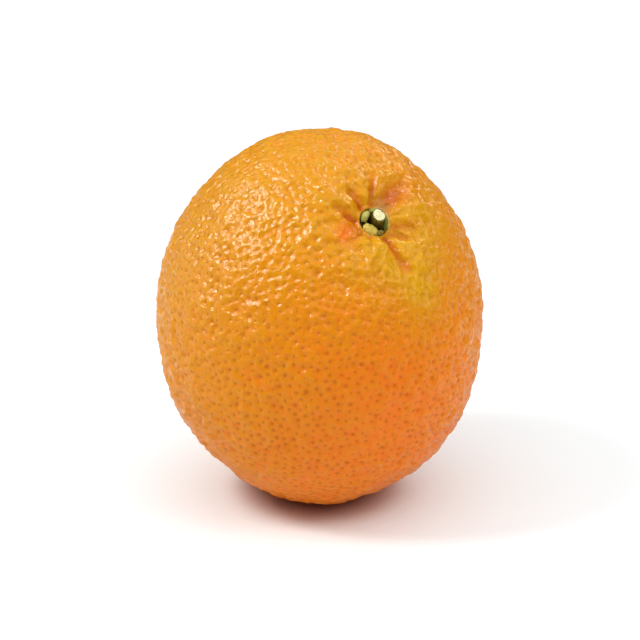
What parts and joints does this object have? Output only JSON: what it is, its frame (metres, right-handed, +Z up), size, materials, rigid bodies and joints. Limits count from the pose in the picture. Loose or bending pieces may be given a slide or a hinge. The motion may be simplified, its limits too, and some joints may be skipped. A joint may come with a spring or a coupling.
{
  "type": "orange",
  "caption": "Whole ripe orange, as picked, with pitted peel, the green calyx in its furrowed hollow and the stub of the cut stalk.",
  "frame": {"origin": "on the surface that the fruit rests on, under the middle of its box", "axes": "+Z up, along the fruit's long axis; the stalk end faces up, towards -Y and a little towards +X"},
  "size_m": [0.0759, 0.0774, 0.0877],
  "materials": {
    "peel": "waxy, pitted orange peel",
    "calyx": "dull, dry yellow-green leaf flesh",
    "stalk": "dark green bark with a pale cut end"
  },
  "bodies": {
    "root": {"fruit": "peel", "calyx": "calyx", "stalk": "stalk"}
  },
  "joints": []
}
